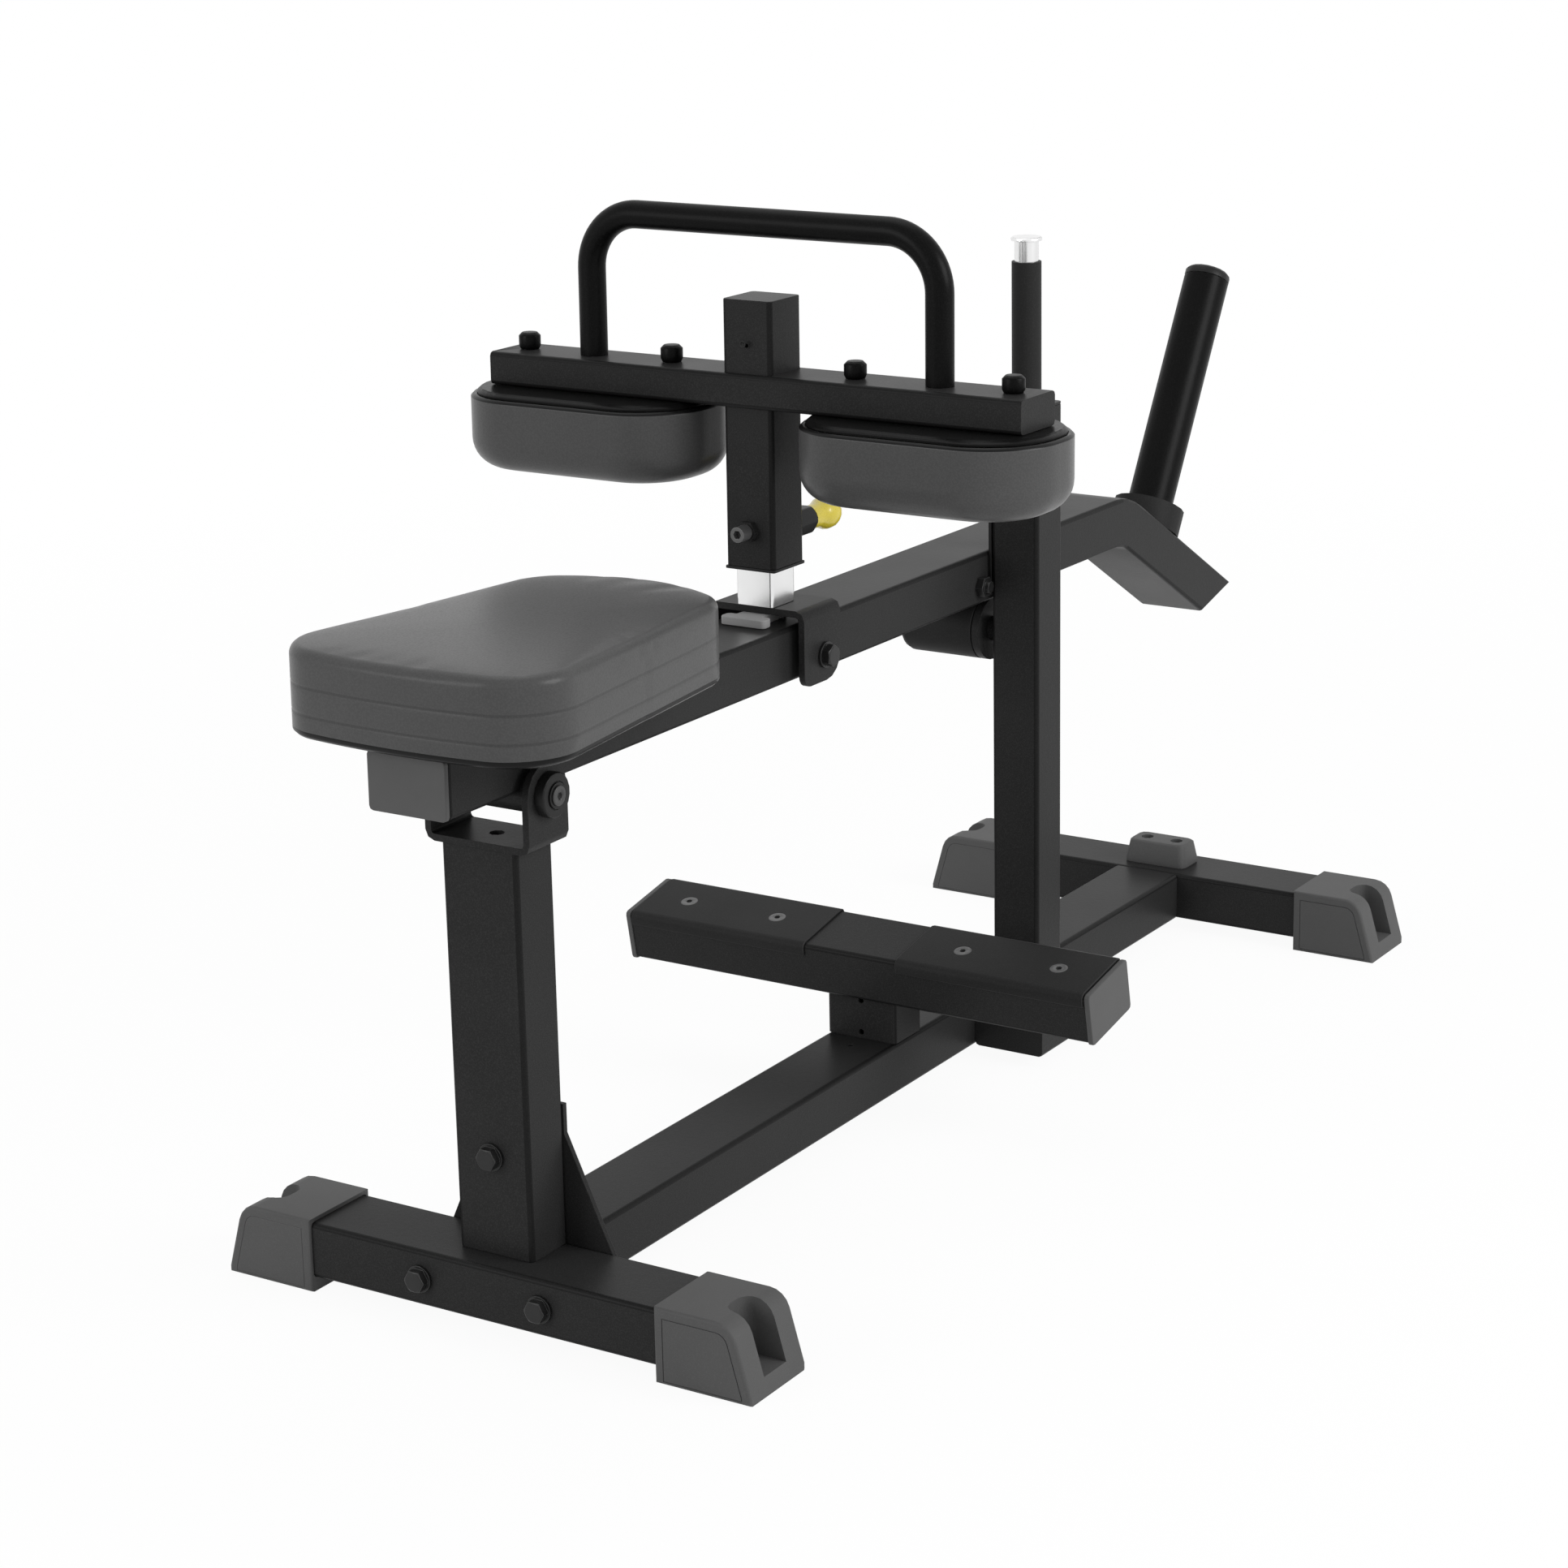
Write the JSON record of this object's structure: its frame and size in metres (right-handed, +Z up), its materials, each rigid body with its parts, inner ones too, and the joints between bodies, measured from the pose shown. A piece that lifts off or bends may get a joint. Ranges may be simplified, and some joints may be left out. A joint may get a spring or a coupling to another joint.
{
  "type": "seated calf raise machine",
  "caption": "Seated calf raise machine with a padded seat, pivoting loading lever, adjustable knee pads, foot bar and swing-out safety catch.",
  "frame": {"origin": "middle of the whole machine seen from above, on the floor", "axes": "+Y from the seat end to the weight horn, +X across to the right of a person who sits on it, +Z up"},
  "size_m": [0.588, 1.4354, 0.8738],
  "materials": {
    "black_paint": "fine-textured matt black powder coat",
    "grey_rubber": "matt moulded rubber",
    "black_rubber": "matt black rubber",
    "grey_plastic": "matt moulded plastic",
    "black_plastic": "satin moulded plastic",
    "vinyl": "grained upholstery vinyl with stitched seams",
    "board": "black painted board",
    "chrome": "bright plated",
    "black_bolt": "black oxide",
    "grey_bolt": "dull grey steel",
    "yellow_plastic": "smooth moulded plastic"
  },
  "bodies": {
    "frame": {"front_cross_tube": "black_paint", "front_foot_right": "grey_rubber", "front_foot_left": "grey_rubber", "rear_cross_tube": "black_paint", "rear_foot_right": "grey_rubber", "rear_foot_left": "grey_rubber", "base_rail": "black_paint", "front_post": "black_paint", "front_joint_plate": "black_paint", "front_joint_bolt_post": "black_bolt", "front_joint_bolt_left": "black_bolt", "front_joint_bolt_right": "black_bolt", "pivot_bracket": "black_paint", "pivot_pin": "grey_bolt", "pivot_cap_right": "black_plastic", "pivot_cap_left": "black_plastic", "foot_bar": "black_paint", "foot_bar_cap_right": "grey_plastic", "foot_bar_cap_left": "grey_plastic", "foot_grip_right": "black_rubber", "foot_grip_left": "black_rubber", "foot_bar_post": "black_paint", "rear_post_stub": "black_paint", "rear_post": "black_paint", "rear_post_bush": "black_plastic", "rear_post_low_bush": "black_plastic", "rear_post_guide": "black_plastic", "rear_stop": "grey_rubber"},
    "lever": {"lever_beam": "black_paint", "lever_front_cap": "grey_plastic", "cross_bolt": "black_bolt", "weight_horn": "black_paint", "horn_collar": "black_rubber", "horn_cap": "black_plastic", "seat_board": "board", "seat_cushion": "vinyl", "knee_rest_block": "grey_rubber"},
    "knee_bracket": {"knee_bracket": "black_paint", "knee_pivot_bolt": "black_bolt", "knee_post": "chrome"},
    "knee_carriage": {"sleeve": "black_paint", "sleeve_liner": "black_plastic", "clamp_screw": "grey_bolt", "pin_housing": "black_plastic", "crossbar": "black_paint", "pad_board_right": "board", "pad_board_left": "board", "knee_pad_right": "vinyl", "knee_pad_left": "vinyl", "handle": "black_paint", "pad_bolt_inner_left": "black_plastic", "pad_bolt_inner_right": "black_plastic", "pad_bolt_outer_left": "black_plastic", "pad_bolt_outer_right": "black_plastic"},
    "pull_pin": {"pin_rod": "chrome", "pin_knob": "yellow_plastic"},
    "catch": {"catch_rod": "chrome", "catch_grip": "black_rubber", "catch_arm": "black_paint", "catch_sleeve": "black_rubber"}
  },
  "joints": [
    {"name": "lever_pivot", "type": "hinge", "parent": "frame", "child": "lever", "pos_m": [0, -0.6005, 0.462], "axis": [1, 0, 0], "range_deg": [0, 12]},
    {"name": "knee_tilt", "type": "hinge", "parent": "lever", "child": "knee_bracket", "pos_m": [0, -0.17529, 0.47944], "axis": [1, 0, 0], "range_deg": [-15, 0]},
    {"name": "knee_height", "type": "slide", "parent": "knee_bracket", "child": "knee_carriage", "axis": [0, 0.0105, 0.9999], "range_m": [-0.025, 0.1]},
    {"name": "pin_pull", "type": "slide", "parent": "knee_carriage", "child": "pull_pin", "axis": [0, 0.9999, -0.0105], "range_m": [0, 0.008], "stiffness_N_per_m": 900, "springref_m": -0.01},
    {"name": "catch_swing", "type": "hinge", "parent": "frame", "child": "catch", "pos_m": [0.0665, 0.1705, 0.42], "axis": [0, 0, 1], "range_deg": [-100, 0]}
  ]
}
